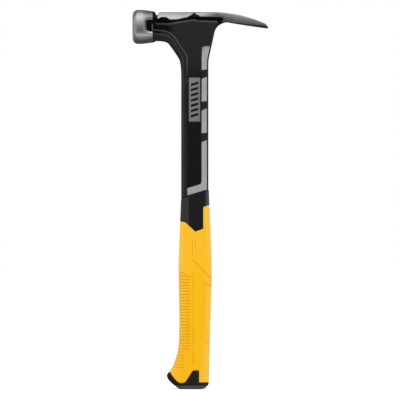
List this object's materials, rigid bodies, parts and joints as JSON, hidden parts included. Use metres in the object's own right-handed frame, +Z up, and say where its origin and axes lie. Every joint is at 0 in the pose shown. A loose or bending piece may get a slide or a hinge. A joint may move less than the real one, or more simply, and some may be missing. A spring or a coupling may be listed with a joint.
{
  "type": "framing hammer",
  "caption": "One-piece steel framing hammer with a milled striking face, nail groove and rip claw, a ribbed shaft with pale inlays, and a two-colour moulded grip.",
  "frame": {"origin": "middle of the flat under the butt, on the handle axis", "axes": "+Z up the handle towards the head, +X towards the claw, +Y through the thickness, away from the pictured side"},
  "size_m": [0.1454, 0.0368, 0.4057],
  "materials": {
    "steel": "forged steel: black coat on cheeks, neck and shaft, bare polished bell, top and claw",
    "magnet": "plated magnet",
    "grip_black": "matte moulded plastic",
    "grip_yellow": "soft satin elastomer",
    "butt_black": "matte elastomer",
    "inlay": "satin light grey",
    "plate": "satin mid grey"
  },
  "bodies": {
    "root": {"steel_body": "steel", "nail_magnet": "magnet", "grip_core": "grip_black", "grip_sleeve": "grip_yellow", "butt_cap": "butt_black", "inlay_top_front": "inlay", "inlay_upper_front": "inlay", "inlay_middle_front": "inlay", "inlay_foot_front": "inlay", "name_plate_front": "plate", "inlay_top_rear": "inlay", "inlay_upper_rear": "inlay", "inlay_middle_rear": "inlay", "inlay_foot_rear": "inlay", "name_plate_rear": "plate"}
  },
  "joints": []
}
